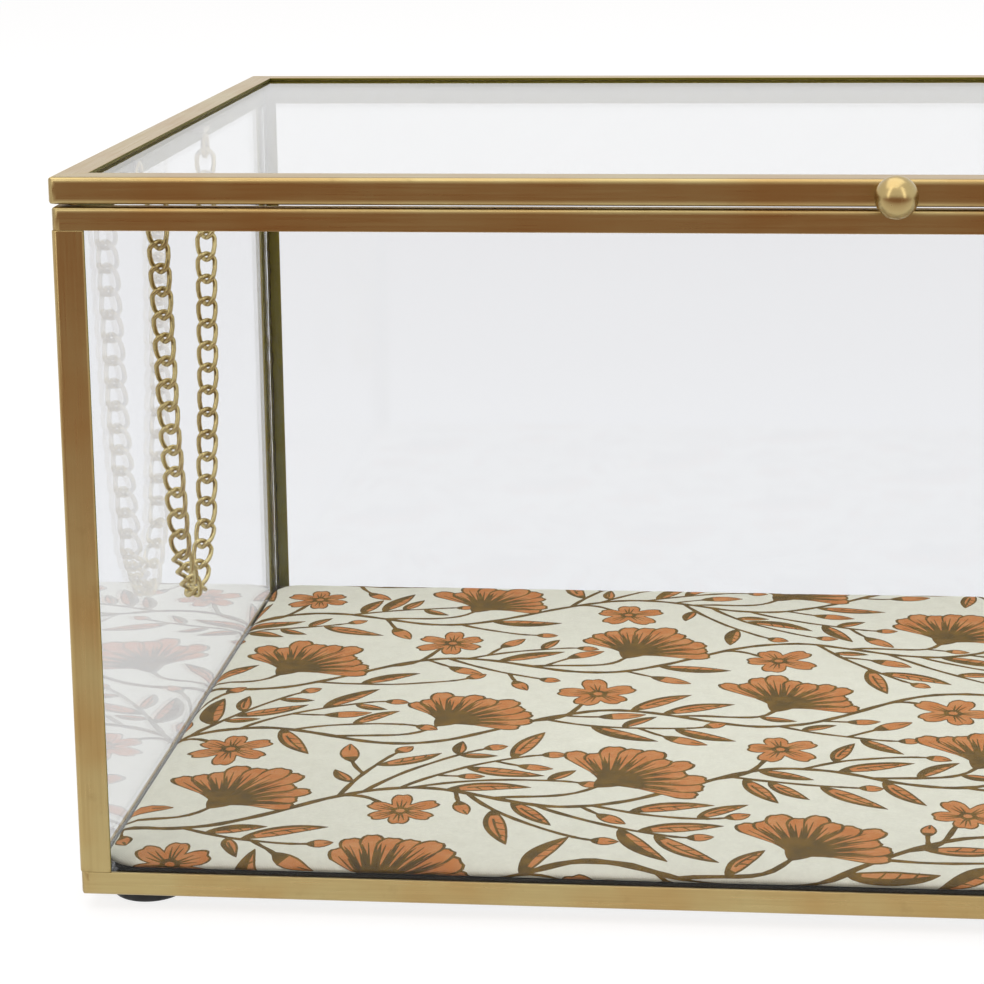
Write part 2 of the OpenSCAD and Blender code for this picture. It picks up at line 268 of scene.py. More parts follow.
def satin_brass(name, along, main=BRASS, warm=BRASS_WARM, roughness=0.3, dents=0.006 * mm):
    """Satin plated brass with faint tarnish and small dents. Strip has fine streaks along one
    axis, and painted shade with more roughness on its faces into the box. A round piece, with along
    None, is smoother."""
    mat, s, surface, _ = material(name)
    stretch = [1.0, 1.0, 1.0]
    grain = ROUND_GRAIN
    if along is not None:
        stretch[along] = 0.02
        grain = 1.0
    cloud = s.range(s.noise(55, 3), 0.35, 0.68, 0, 1)
    streak = s.noise(2600, 2, 0.6, stretch)
    aged = s.range(s.noise(240, 4, 0.65), 0.60, 0.78, 0, 0.22)
    colour = s.blend(cloud, linear(main), linear(warm))
    colour = s.blend(s.range(streak, 0.3, 0.7, 0, 0.13 * grain), colour, linear(BRASS_AGED))
    colour = s.blend(aged, colour, linear(BRASS_AGED))
    rough = s.range(streak, 0.25, 0.75, roughness - 0.05 * grain, roughness + 0.07 * grain)
    rough = s.math("ADD", rough, s.math("MULTIPLY", aged, 0.25))
    if along is not None:
        # painted shade: faces into the box turn a darker olive brown, and also get rougher
        inside = facing_in(s)
        upright = along == 2
        colour = s.blend(inside, colour, linear(POST_INSIDE_SHADE if upright else BRASS_INSIDE_SHADE))
        rough = s.math("ADD", rough, s.math("MULTIPLY", inside, 0.3))
    s.put(surface.inputs["Base Color"], colour)
    surface.inputs["Metallic"].default_value = 1
    s.put(surface.inputs["Roughness"], rough)
    fine = s.bump(streak, dents * 0.66 * grain)
    s.put(surface.inputs["Normal"], s.bump(s.noise(900, 3), dents, normal=fine))
    return mat


def clear(name, colour, roughness=0.0, ior=1.32, lets_through=0.93):
    """Clear glass or glue. Light from the lamps passes straight through it."""
    mat, s, surface, out = material(name)
    surface.inputs["Base Color"].default_value = linear(colour)
    surface.inputs["Roughness"].default_value = roughness
    surface.inputs["IOR"].default_value = ior
    surface.inputs["Transmission Weight"].default_value = 1
    passing = s.add("ShaderNodeBsdfTransparent", Color=(lets_through,) * 3 + (1,))
    shadow = s.add("ShaderNodeLightPath").outputs["Is Shadow Ray"]
    mixed = s.add("ShaderNodeMixShader", i0=shadow, i1=surface.outputs[0], i2=passing.outputs[0])
    s.put(out.inputs["Surface"], mixed.outputs[0])
    return mat, s, surface


def glue_bead():
    """Clear glue that set with small bubbles and ripples."""
    mat, s, surface = clear("clear_glue", GLUE, 0.05, 1.45)
    s.put(surface.inputs["Normal"], s.bump(s.noise(420, 3), 0.12 * mm))
    return mat


def rubber():
    """Black rubber with a little dust on it."""
    mat, s, surface, _ = material("rubber_foot")
    dust = s.range(s.noise(700, 4), 0.5, 0.75, 0, 0.35)
    s.put(surface.inputs["Base Color"], s.blend(dust, linear(RUBBER), linear(RUBBER_DUST)))
    s.put(surface.inputs["Roughness"], s.range(dust, 0, 0.35, 0.5, 0.75))
    s.put(surface.inputs["Normal"], s.bump(s.noise(2500, 3), 0.02 * mm))
    return mat


def card():
    """Board with faint fibres, painted a dark grey-brown as shade in the gap under the pad's edge."""
    mat, s, surface, _ = material("card")
    fibre = s.noise(900, 5, 0.7, (1, 0.35, 1))
    s.put(surface.inputs["Base Color"],
          s.blend(s.range(fibre, 0.35, 0.7, 0, 0.5), linear(CARD_PAINTED_SHADE), linear(CARD_FIBRE)))
    surface.inputs["Roughness"].default_value = 0.85
    s.put(surface.inputs["Normal"], s.bump(fibre, 0.03 * mm))
    return mat


def cotton(name, ink, faded):
    """Plain woven cotton, dyed unevenly as a block print is."""
    mat, s, surface, _ = material(name)
    thread = 2 * math.pi / THREAD
    at = s.add("ShaderNodeSeparateXYZ", i0=s.place())
    warp = s.math("SINE", s.math("MULTIPLY", at.outputs[0], thread))
    weft = s.math("SINE", s.math("MULTIPLY", at.outputs[1], thread))
    weave = s.math("MULTIPLY", warp, weft)
    slub = s.noise(1500, 3, 0.6)
    patch = s.range(s.noise(330, 4, 0.6), 0.4, 0.72, 0, 1)
    dark = linear(tuple(c * 0.6 for c in ink))
    dull = linear(tuple(c * 0.75 for c in ink))
    colour = s.blend(patch, linear(ink), linear(faded))
    colour = s.blend(s.range(weave, -1, 1, 0, 0.10), colour, dark)
    colour = s.blend(s.range(slub, 0.35, 0.7, 0, 0.16), colour, dull)
    s.put(surface.inputs["Base Color"], colour)
    surface.inputs["Roughness"].default_value = 0.85
    surface.inputs["Sheen Weight"].default_value = 0.04
    surface.inputs["Sheen Roughness"].default_value = 0.4
    surface.inputs["Specular IOR Level"].default_value = 0.15
    fine = s.bump(weave, 0.03 * mm, 0.6)
    s.put(surface.inputs["Normal"], s.bump(slub, 0.05 * mm, 0.5, fine))
    return mat


# ---- mesh helpers ----

def piece(name, points, faces, mats, body, slots=None):
    """A new smooth object of this mesh, riding on a body."""
    mesh = bpy.data.meshes.new(name)
    mesh.from_pydata([tuple(p) for p in points], [], [tuple(f) for f in faces])
    for mat in mats:
        mesh.materials.append(mat)
    mesh.polygons.foreach_set("use_smooth", [True] * len(mesh.polygons))
    if slots is not None:
        mesh.polygons.foreach_set("material_index", slots)
    mesh.update()
    obj = bpy.data.objects.new(name, mesh)
    bpy.context.scene.collection.objects.link(obj)
    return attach(obj, body)


def tube_faces(rings, around, closed):
    """Quads between rings of points, each ring with the same number of them."""
    last = rings if closed else rings - 1
    faces = []
    for i in range(last):
        j = (i + 1) % rings
        for k in range(around):
            n = (k + 1) % around
            faces.append((i * around + k, j * around + k, j * around + n, i * around + n))
    return faces


def dress(names, mat, bevel, shrink=0):
    """Gives CAD nodes a material and eased edges."""
    for name in names:
        obj = nodes[name]
        obj.data.materials.clear()
        obj.data.materials.append(mat)
        weld = obj.modifiers.new("weld", "WELD")
        weld.merge_threshold = 1e-6
        if shrink:
            gap = obj.modifiers.new("air_gap", "DISPLACE")
            gap.strength = -shrink
            gap.mid_level = 0
        edge = obj.modifiers.new("edge", "BEVEL")
        edge.width = bevel
        edge.segments = 2
        edge.limit_method = "ANGLE"
        edge.angle_limit = math.radians(40)
        edge.harden_normals = True


# ---- frame, glass and feet ----

def build_frame():
    """Brass for the strips, with its streaks along each, darker brass for the hinges, and rubber."""
    by_axis = [satin_brass("brass_along_" + axis, i) for i, axis in enumerate("xyz")]
    for rail in ("bottom_rail_", "rim_rail_", "lid_rail_"):
        dress([rail + "front", rail + "back"], by_axis[0], EDGE_BEVEL)
        dress([rail + "left", rail + "right"], by_axis[1], EDGE_BEVEL)
    corners = [y + "_" + x for y in ("front", "back") for x in ("left", "right")]
    dress(["corner_post_" + c for c in corners], by_axis[2], EDGE_BEVEL)
    dress(["foot_" + c for c in corners], rubber(), EDGE_BEVEL)
    hinge = satin_brass("hinge_brass", 0, HINGE_BRASS, BRASS_AGED, 0.38)
    leaves = [p + s for p in ("hinge_leaf_case_", "hinge_leaf_lid_") for s in ("left", "right")]
    dress(leaves, hinge, EDGE_BEVEL)
    dress(["hinge_pin_left", "hinge_pin_right"], by_axis[0], EDGE_BEVEL)


def build_glass():
    """Clear glass, drawn a hair smaller than its nodes so that it touches nothing."""
    pane, _, _ = clear("clear_glass", GLASS)
    panes = ["base_glass", "lid_glass"] + ["wall_glass_" + s for s in ("front", "back", "left", "right")]
    dress(panes, pane, GLASS_BEVEL, AIR_GAP)


# ---- stage, light and camera ----

def paths(s):
    """How a ray came: its path, 1 if it shows the surroundings, 1 if it has bounced off the object."""
    path = s.add("ShaderNodeLightPath").outputs
    seen = s.math("MAXIMUM", path["Is Camera Ray"],
                  s.math("MAXIMUM", path["Is Glossy Ray"], path["Is Transmission Ray"]))
    bounced = s.math("MINIMUM", s.math("ADD", path["Glossy Depth"], path["Diffuse Depth"]), 1.0)
    return path, seen, bounced


def build_stage():
    """A pale floor. Reflected in the object, it fades into the dim room in front."""
    mat = bpy.data.materials.new("stage_floor")
    s = Shader(mat)
    _, seen, bounced = paths(s)
    at = s.add("ShaderNodeSeparateXYZ", i0=s.place()).outputs
    dim = s.math("MULTIPLY", bounced, s.range(at[1], FADE_FROM, FADE_TO, 0, 1))
    tone = s.blend(dim, WHITE, linear(ROOM))
    lit = s.add("ShaderNodeBsdfDiffuse", Color=FLOOR_GREY)
    pale = s.add("ShaderNodeBsdfDiffuse", Color=s.blend(FLOOR_DULL, tone, BLACK))
    glow = s.add("ShaderNodeEmission", Color=tone, Strength=FLOOR_GLOW)
    white = s.add("ShaderNodeAddShader", i0=pale.outputs[0], i1=glow.outputs[0])
    mixed = s.add("ShaderNodeMixShader", i0=seen, i1=lit.outputs[0], i2=white.outputs[0])
    s.add("ShaderNodeOutputMaterial", Surface=mixed.outputs[0])
    mesh = bpy.data.meshes.new("floor")
    corners = [(x * FLOOR_REACH, y * FLOOR_REACH, 0) for x, y in ((-1, -1), (1, -1), (1, 1), (-1, 1))]
    mesh.from_pydata(corners, [], [(0, 1, 2, 3)])
    mesh.materials.append(mat)
    floor = bpy.data.objects.new("floor", mesh)
    bpy.context.scene.collection.objects.link(floor)


def build_world():
    """White all round, but light that has met the object finds a dim room in front, and little
    light reaches matt surfaces from there."""
    world = bpy.data.worlds.new("studio")
    bpy.context.scene.world = world
    s = Shader(world)
    path, seen, bounced = paths(s)
    way = s.add("ShaderNodeSeparateXYZ", i0=s.add("ShaderNodeTexCoord").outputs["Generated"]).outputs
    ahead = s.range(way[1], *ROOM_AHEAD, 0, 1)
    low = s.range(way[2], *ROOM_LOW, 0, 1)
    shade = s.math("MULTIPLY", s.range(way[1], *SHADE_AHEAD, 0, 1), s.range(way[2], *SHADE_HIGH, 0, 1))
    shade = s.math("MULTIPLY", shade, s.math("MINIMUM", path["Diffuse Depth"], 1.0))
    dim = s.math("MULTIPLY", bounced, s.math("MULTIPLY", ahead, low))
    dim = s.math("MAXIMUM", dim, shade)
    strength = s.range(seen, 0, 1, SKY_STRENGTH, 1)
    back = s.add("ShaderNodeBackground", Color=s.blend(dim, WHITE, linear(ROOM)),
                 Strength=strength)
    s.add("ShaderNodeOutputWorld", Surface=back.outputs[0])


def soft_box(name, at, aim, size, radiance):
    """An area lamp that looks as bright as radiance."""
    light = bpy.data.lights.new(name, "AREA")
    light.shape = "RECTANGLE"
    light.size, light.size_y = size
    light.energy = radiance * math.pi * size[0] * size[1]
    obj = bpy.data.objects.new(name, light)
    obj.location = at
    obj.rotation_euler = (Vector(aim) - Vector(at)).to_track_quat("-Z", "Y").to_euler()
    bpy.context.scene.collection.objects.link(obj)


def build_lights():
    """A wide lamp above and a narrow upright one on each side in front."""
    for name, setup in LAMPS.items():
        soft_box(name, *setup)


def build_camera():
    """The camera at the photo's viewing angle, with the photo's square frame."""
    ahead = Vector((math.sin(YAW) * math.cos(PITCH), math.cos(YAW) * math.cos(PITCH),
                    -math.sin(PITCH)))
    right = Vector((math.cos(YAW), -math.sin(YAW), 0))
    up = right.cross(ahead)
    turned = right * math.cos(ROLL) + up * math.sin(ROLL)
    raised = up * math.cos(ROLL) - right * math.sin(ROLL)
    data = bpy.data.cameras.new("camera")
    data.sensor_width = SENSOR / mm
    data.lens = FOCAL * SENSOR / mm
    data.shift_x, data.shift_y = SHIFT
    data.clip_start = 0.01
    cam = bpy.data.objects.new("camera", data)
    cam.matrix_world = Matrix((turned, raised, -ahead)).transposed().to_4x4()
    cam.location = CAMERA_AT
    bpy.context.scene.collection.objects.link(cam)
    bpy.context.scene.camera = cam


# ---- chain ----

def link_shape():
    """One curb link: a twisted oval of round wire, along Z, with its width along X."""
    r = (link_w - wire_d) / 2
    half = (link_len - link_w) / 2
    rate = link_twist / ((link_len - wire_d) / 2)
    points = []
    for i in range(LINK_STEPS):
        a = 2 * math.pi * i / LINK_STEPS
        if i in (0, LINK_STEPS // 2):
            middle = (r * math.cos(a), 0)
        else:
            middle = (r * math.cos(a), r * math.sin(a) + math.copysign(half, math.sin(a)))
        for j in range(WIRE_STEPS):
            b = 2 * math.pi * j / WIRE_STEPS
            out = wire_d / 2 * math.cos(b)
            x, z = middle[0] + out * math.cos(a), middle[1] + out * math.sin(a)
            y = wire_d / 2 * math.sin(b)
            t = rate * middle[1]
            points.append(Vector((x * math.cos(t) - y * math.sin(t),
                                  x * math.sin(t) + y * math.cos(t), z)))
    return points, tube_faces(LINK_STEPS, WIRE_STEPS, True)


def build_chain():
    """Each stiff run of the chain gets its links, drawn from one pivot to the next."""
    mat = satin_brass("chain_brass", None, CHAIN_BRASS, CHAIN_WARM, 0.22)
    dress(["chain_eye_lid", "chain_eye_case"], mat, 0.02 * mm)
    runs = [j["child"] for j in frame["joints"] if j["child"].startswith("chain_")]
    pivots = [Vector(j["pos_m"]) for j in frame["joints"] if j["child"] in runs]
    low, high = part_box("chain_eye_case")
    pivots.append(Vector((pivots[0].x, (low.y + high.y) / 2, low.z + eye_r + eye_wire / 2)))
    points, faces = link_shape()
    for g, run in enumerate(runs):
        way = (pivots[g + 1] - pivots[g]).normalized()
        count = int((pivots[g + 1] - pivots[g]).length / link_pitch + 0.01)
        start = pivots[g + 1] - way * link_pitch * count if g == 0 else pivots[g]
        turn = Matrix.Rotation(math.atan2(way.y, -way.z), 3, "X").to_quaternion()
        all_points, all_faces = [], []
        for i in range(count):
            at = start + way * link_pitch * (i + 0.5)
            base = len(all_points)
            all_points += [at + turn @ p for p in points]
            all_faces += [tuple(base + v for v in f) for f in faces]
        obj = piece(run.replace("chain", "links"), all_points, all_faces, [mat], run)
        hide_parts(run)


# ---- print: shapes on the flat cloth, as complex numbers in mm ----

def ribbon(line, widths):
    """Outline of a stroke along a line, with its width at each point."""
    left, right = [], []
    last = len(line) - 1
    for i, p in enumerate(line):
        way = line[min(i + 1, last)] - line[max(i - 1, 0)]
        side = 1j * way / abs(way) * widths[i] / 2
        left.append(p + side)
        right.append(p - side)
    return left + right[::-1]


def bow(start, aim, length, bend, steps):
    """Points along a curve that leaves start towards aim and bends to one side."""
    return [start + aim * length * (t + 1j * bend * t * t)
            for t in (i / steps for i in range(steps + 1))]


def swell(steps, peak, tip=0.05):
    """Widths from 0 to 1, widest at peak, for a leaf or a bud."""
    power = math.log(0.5) / math.log(peak)
    return [tip + (1 - tip) * math.sin(math.pi * (i / steps) ** power) ** 0.85
            for i in range(steps + 1)]


class Print:
    """The inked shapes in the order they're printed, and the room that they take up, as circles."""

    def __init__(self, seed):
        self.random = random.Random(seed)
        self.shapes = []
        self.taken = []

    def ink(self, outline, colour):
        """Prints a shape."""
        self.shapes.append((outline, colour))

    def free(self, spots):
        """Whether these circles touch nothing printed so far."""
        return all(abs(a - b) > r + s for a, r in spots for b, s in self.taken)

    def stem(self, line, thick, thin):
        """A stroke that thins along its line and swells a little, as a hand-cut one does."""
        last = len(line) - 1
        wobble = self.random.uniform(0, 6)
        widths = [(thick + (thin - thick) * i / last) * (1 + 0.14 * math.sin(1.9 * i + wobble))
                  for i in range(last + 1)]
        self.ink(ribbon(line, widths), BROWN)

    def leaf(self, start, aim, length, width, bend):
        """A pointed leaf with a dark edge and rib, some with a dark half, and hatched if long."""
        steps = 11
        line = bow(start, aim, length, bend, steps)
        full = swell(steps, 0.46)
        self.ink(ribbon(line, [width * w for w in full]), BROWN)
        side = math.copysign(1, bend)
        inner = []
        for i in range(2, steps):
            way = line[i + 1] - line[i - 1]
            inner.append((line[i], 1j * way / abs(way) * side, width * full[i] / 2))
        shaded = self.random.random() < SHADED_SHARE
        near = [p + n * max(h - 0.42, 0.05) for p, n, h in inner]
        far = [p - n * (-0.25 if shaded else max(h - 0.95, -0.2)) for p, n, h in inner]
        if width > 2.5:
            self.ink(near + far[::-1], RED)
            rib = line[3:-2]
            self.ink(ribbon(rib, [0.45] * len(rib)), BROWN)
        if length > 9:
            for i in (4, 6, 8):
                p, n, h = inner[i - 2]
                ahead = (line[i + 1] - line[i]) * 0.9
                self.ink(ribbon([p, p + n * h * 0.45 + ahead * 0.6, p + n * h * 0.85 + ahead],
                                [0.42, 0.34, 0.2]), BROWN)

    def bud(self, start, aim, length, width, bend):
        """A stalk with a half open bud in a dark cup."""
        steps = 10
        line = bow(start, aim, length, bend, steps)
        self.stem(line[:6], 0.95, 0.75)
        head = line[4:]
        n = len(head) - 1
        full = swell(n, 0.5, 0.1)
        self.ink(ribbon(head, [width * w for w in full]), BROWN)
        self.ink(ribbon(head[2:], [max(width * w - 0.75, 0.15) for w in full[2:]]), RED)
        slit = [head[-1], head[-2], head[-3]]
        self.ink(ribbon(slit, [0.2, 0.45, 0.3]), BROWN)

    def flower(self, middle, radius, petals):
        """An open flower seen from above: petals, creases in them and a dark eye."""
        turn = self.random.uniform(0, 6.28)
        for colour in (BROWN, RED):
            for k in range(petals):
                aim = cmath.rect(1, turn + 2 * math.pi * k / petals)
                reach = radius * (1 + 0.12 * math.sin(5 * k + turn))
                wide = radius * (1.0 if petals < 6 else 0.84)
                if colour == RED:
                    reach, wide = reach - 0.45, wide - 0.95
                self.ink(self.petal(middle, aim, radius, reach, wide), colour)
        for k in range(petals):
            aim = cmath.rect(1, turn + 2 * math.pi * k / petals)
            for lean in (-0.22, 0, 0.22):
                way = aim * cmath.rect(1, lean)
                self.ink(ribbon([middle + way * radius * 0.2, middle + way * radius * 0.44,
                                 middle + way * radius * (0.62 if lean else 0.72)],
                                [0.42, 0.3, 0.12]), BROWN)
        self.ink([middle + cmath.rect(radius * 0.24, 0.7 * i) for i in range(9)], BROWN)
        self.ink([middle + cmath.rect(radius * 0.12, 0.9 * i) for i in range(7)], RED)

    def petal(self, middle, aim, radius, reach, wide):
        """Outline of an open flower's petal, with a notch in its end."""
        outline = []
        for i in range(13):
            t = -1 + i / 6
            depth = (1 - abs(t) ** 2.4) ** 0.55
            notch = 0.07 * reach * max(0, 1 - abs(t) * 3)
            outline.append(middle + aim * complex(reach * (0.22 + 0.78 * depth) - notch,
                                                  wide / 2 * t * (0.55 + 0.45 * depth)))
        outline.append(middle + aim * 0.1 * radius)
        return outline

    def carnation(self, foot, aim, reach):
        """A fan of rounded petals over a dark streaked cup."""
        petals = 11
        spread = math.radians(68)
        order = sorted(range(petals), key=lambda k: -abs(k - (petals - 1) / 2))
        for k in order:
            lean = spread * (2 * k / (petals - 1) - 1)
            self.fan_petal(foot, aim * cmath.rect(1, lean), lean, reach)
        for k in range(petals - 1):
            lean = spread * (2 * (k + 0.5) / (petals - 1) - 1)
            way = aim * cmath.rect(1, lean)
            line = [foot + way * reach * r for r in (0.05, 0.3, 0.5, 0.74)]
            self.ink(ribbon(line, [0.4, 1.7, 1.0, 0.1]), BROWN)
        cup = bow(foot - aim * reach * 0.2, aim, reach * 0.56, 0.04, 8)
        self.ink(ribbon(cup, [reach * 0.34 * w for w in swell(8, 0.52)]), BROWN)
        for lean in (-0.9, 0.9):
            sepal = bow(foot - aim * reach * 0.05, aim * cmath.rect(1, lean), reach * 0.34,
                        math.copysign(0.3, lean), 5)
            self.ink(ribbon(sepal, [1.6, 1.5, 1.2, 0.9, 0.5, 0.15]), BROWN)

    def fan_petal(self, foot, way, lean, reach):
        """One petal of a carnation, a dark edge under a red face, with two dark creases."""
        out = reach * (0.82 + 0.2 * math.cos(lean) + self.random.uniform(-0.17, 0.07))
        half = out * math.radians(self.random.uniform(6.0, 7.6))
        for grow, colour in ((0.5, BROWN), (0, RED)):
            outline = [foot + way * reach * 0.12]
            for i in range(9):
                a = math.pi * (i / 8 - 0.5)
                notch = 0.03 * math.exp(-(a / 0.3) ** 2)
                tip = out * (0.80 + 0.20 * math.cos(a) - notch) + grow
                outline.append(foot + way * complex(tip, (half + grow) * math.sin(a)))
            self.ink(outline, colour)
        for t, deep in ((-0.45, 0.72), (0.4, 0.82)):
            line = [foot + way * complex(out * r, t * half * r) for r in (0.3, 0.5, deep)]
            self.ink(ribbon(line, [0.6, 0.42, 0.16]), BROWN)

    # ---- layout ----

    def vine(self, k, x):
        """Height of main stem k at x."""
        return (k * VINE_GAP + VINE_SLOPE * x
                + VINE_SWAY * math.sin(2 * math.pi * (x / VINE_WAVE + k / 2)))

    def lay_out(self, half_w, half_d):
        """Prints a cloth of this half width and half depth. Heads take their room first, then
        stems, shoots, leaves and buds fill what is left."""
        stems, heads = self.vines_and_heads(half_w, half_d)
        for head in heads:
            self.claim(head)
            stems.append((self.branch(head), *BRANCH_WIDTHS))
        for line, thick, thin in stems:
            self.stem(line, thick, thin)
            for p, q in zip(line, line[1:]):
                self.taken += [(p, 0.65), ((p + q) / 2, 0.65)]
        self.grow(stems + self.shoots(stems))
        for kind, _, at, aim, r in heads:
            if kind == "carnation":
                self.carnation(at, aim, r)
            else:
                self.flower(at, r, 5 + (len(self.shapes) % 2))

    def vines_and_heads(self, half_w, half_d):
        """The main stems, and the flower heads: each one's kind, the place on the stem that its
        branch leaves, its own place, the way it faces and its size."""
        def inside(p, margin):
            return abs(p.real) < half_w + margin and abs(p.imag) < half_d + margin

        stems, heads = [], []
        for k in range(-5, 6):
            line = [complex(x, self.vine(k, x)) for x in range(-int(half_w) - 12, int(half_w) + 12, 2)]
            line = [p for p in line if inside(p, 9)]
            if len(line) > 4:
                stems.append((line, *VINE_WIDTHS))
            for j in range(-4, 5):
                heads += [self.carnation_head(k, j), self.flower_head(k, j)]
        return stems, [h for h in heads if inside(h[2], 12)]

    def carnation_head(self, k, j):
        """Carnation j of main stem k, in the wide gap above it."""
        x = VINE_WAVE * (j - 0.25 - k / 2) + self.random.uniform(-2, 2)
        aim = cmath.rect(1, math.radians(62 + self.random.uniform(-14, 10)))
        low = complex(x, self.vine(k, x))
        foot = low + complex(2.5, 0.40 * (VINE_GAP + 2 * VINE_SWAY) - 8)
        start = complex(x - 17, self.vine(k, x - 17))
        return "carnation", start, foot, aim, 17 + self.random.uniform(-1, 1)

    def flower_head(self, k, j):
        """Open flower j of main stem k, above and below it in turn."""
        x = VINE_WAVE * (j + 0.23 - k / 2) + self.random.uniform(-2, 2)
        side = 1 if j % 2 else -1
        at = complex(x, self.vine(k, x)) + complex(2, 10.2 * side)
        start = complex(x - 9, self.vine(k, x - 9))
        return "flower", start, at, 1, 7.3 + self.random.uniform(-0.6, 0.6)

    def claim(self, head):
        """Takes up the room of a flower head."""
        kind, _, at, aim, r = head
        if kind == "carnation":
            self.taken.append((at + aim * r * 0.62, r * 0.70))
            self.taken += [(at + aim * cmath.rect(r * 0.72, turn), r * 0.40) for turn in (-0.9, 0.9)]
            self.taken.append((at - aim * 1, 3))
        else:
            self.taken.append((at, r * 1.06))

    def branch(self, head):
        """A curve from the main stem, which it leaves along, into the foot of a flower head."""
        kind, start, at, aim, r = head
        if kind == "carnation":
            end = at - aim * r * 0.18
            pull = aim
        else:
            end = at
            pull = at - start
            pull /= abs(pull)
        reach = abs(end - start)
        along = complex(1, VINE_SLOPE)
        a, b = start + along * reach * 0.45, end - pull * reach * 0.4
        return [(1 - t) ** 3 * start + 3 * (1 - t) ** 2 * t * a
                + 3 * (1 - t) * t * t * b + t ** 3 * end for t in (i / 9 for i in range(10))]

    def sites(self, stems):
        """Places along the stems where something may branch off, to either side."""
        found = [(line, i, side) for line, _, _ in stems for i in range(1, len(line) - 1)
                 for side in (1, -1)]
        self.random.shuffle(found)
        return found

    def shoots(self, stems):
        """Side shoots that end in a bud, wherever there's room for one and its leaves."""
        found = []
        sites = self.sites(stems)
        for length, room in SHOOTS:
            for line, i, side in sites:
                way = line[i + 1] - line[i - 1]
                aim = way / abs(way) * cmath.rect(1, side * self.random.uniform(0.35, 0.85))
                bend = -side * self.random.uniform(0.12, 0.34)
                shoot = bow(line[i], aim, length, bend, 9)
                if self.free([(p, room) for p in shoot[3:]]):
                    self.stem(shoot, *SHOOT_WIDTHS)
                    tip = (shoot[-1] - shoot[-2]) / abs(shoot[-1] - shoot[-2])
                    self.bud(shoot[-1] - tip, tip, 7.5, 3.2, bend)
                    self.taken += [(p, 0.6) for p in shoot]
                    self.taken += [(shoot[-1] + tip * r, 1.5) for r in (2.5, 4.5)]
                    found.append((shoot, *SHOOT_WIDTHS))
        return found

    def grow(self, stems):
        """Leaves and buds on both sides of the stems, wherever there's room."""
        sites = self.sites(stems)
        for length, width in LEAVES:
            for line, i, side in sites:
                way = line[i + 1] - line[i - 1]
                way /= abs(way)
                lean = self.random.uniform(0.4, 1.15)
                aim = way * cmath.rect(1, side * lean)
                bend = -side * self.random.uniform(0.1, 0.32)
                body = bow(line[i], aim, length, bend, 8)
                widths = swell(8, 0.46)
                spots = [(p, width / 2 * w + 0.4) for p, w in zip(body[3:], widths[3:])]
                if self.free(spots):
                    if length > 7 and self.random.random() < BUD_SHARE:
                        self.bud(line[i], aim, length, width * 0.95, bend)
                    else:
                        self.leaf(line[i], aim, length, width, bend)
                    self.taken += [(p, r - 0.35) for p, r in spots]


# ---- pad ----

def pad_ring(inset, step):
    """Points round the pad's flat cloth, this far in from its cut edge, as complex numbers in mm."""
    r = max(PAD_CORNER + PAD_CLOTH - inset, 0.6)
    w, d = (half - PAD_EDGE + PAD_CLOTH - inset for half in PAD_HALF)
    points = []
    for turn, sx, sy in ((0, 1, 1), (1, -1, 1), (2, -1, -1), (3, 1, -1)):
        corner = complex(sx * (w - r), sy * (d - r))
        arc = max(2, round(r * math.pi / 2 / step))
        points += [corner + cmath.rect(r, math.pi / 2 * (turn + i / arc)) for i in range(arc + 1)]
    ring = []
    for a, b in zip(points, points[1:] + points[:1]):
        n = max(1, round(abs(b - a) / step))
        ring += [a + (b - a) * i / n for i in range(n)]
    return ring


def pad_place(p):
    """Where a point of the flat cloth lies on the pad, in mm: flat on top, then rolled over the
    edge and tucked in above the card."""
    w, d = (half - PAD_EDGE - PAD_CORNER for half in PAD_HALF)
    qx, qy = abs(p.real) - w, abs(p.imag) - d
    out = complex(max(qx, 0), max(qy, 0))
    past = abs(out) + min(max(qx, qy), 0) - PAD_CORNER
    away, drop = 0j, 0.0
    if past > 0:
        way = out / abs(out) if abs(out) else complex(qx > qy, qx <= qy)
        way = complex(math.copysign(way.real, p.real), math.copysign(way.imag, p.imag))
        t = min(past / PAD_ROLL * math.pi / 2, PAD_TURN)
        away = way * (PAD_EDGE * math.sin(t) - past)
        drop = PAD_ROUND * (1 - math.cos(t))
    at = p + away
    return at.real, at.imag, PAD_TOP - drop + pad_lift(p, past, drop)


def pad_lift(p, past, drop):
    """How far the padding lifts a point of the cloth, in mm: its crown, puckers and edge ripple."""
    edge = -past if past <= 0 else 0
    v = Vector((p.real, p.imag, 0))
    soft = min(edge / 30, 1)
    rise = PAD_CROWN * soft * (2 - soft)
    pucker = 0.22 * noise.noise(v * 0.045) + 0.10 * noise.noise(v * 0.14 + Vector((7, 3, 1)))
    near = math.exp(-((edge + 1.5) / 7) ** 2) if past <= 0 else 1.0
    ripple = 0.10 * near * noise.noise(Vector((p.real * 0.22, p.imag * 0.22, 5)))
    return rise + pucker * min(1, 0.35 + soft) + ripple * (1 if past <= 0 else max(0, 1 - drop))


def cut_cloth(art, cut):
    """The flat cloth as points and triangles, cut along every printed shape, and the ink of each
    triangle, which is that of the last shape printed there."""
    points, faces, inks = list(cut), [list(range(len(cut)))], [0]
    for shape, ink in art.shapes:
        area = sum((a.conjugate() * b).imag for a, b in zip(shape, shape[1:] + shape[:1]))
        first = len(points)
        points += shape if area > 0 else shape[::-1]
        faces.append(list(range(first, len(points))))
        inks.append(ink)
    for inset in np.arange(HEM_ROW, PAD_CLOTH + 2, HEM_ROW):
        points += pad_ring(inset, HEM_STEP)
    span = [half - PAD_EDGE - 2 for half in PAD_HALF]
    for x in np.arange(-span[0], span[0], TOP_STEP):
        points += [complex(x, y) for y in np.arange(-span[1], span[1], TOP_STEP)]
    flat, _, tris, _, _, origins = geometry.delaunay_2d_cdt(
        [Vector((p.real, p.imag)) for p in points], [], faces, 1, 1e-5, True)
    kept = [(t, inks[max(o)]) for t, o in zip(tris, origins) if 0 in o]
    return flat, [t for t, _ in kept], [ink for _, ink in kept]


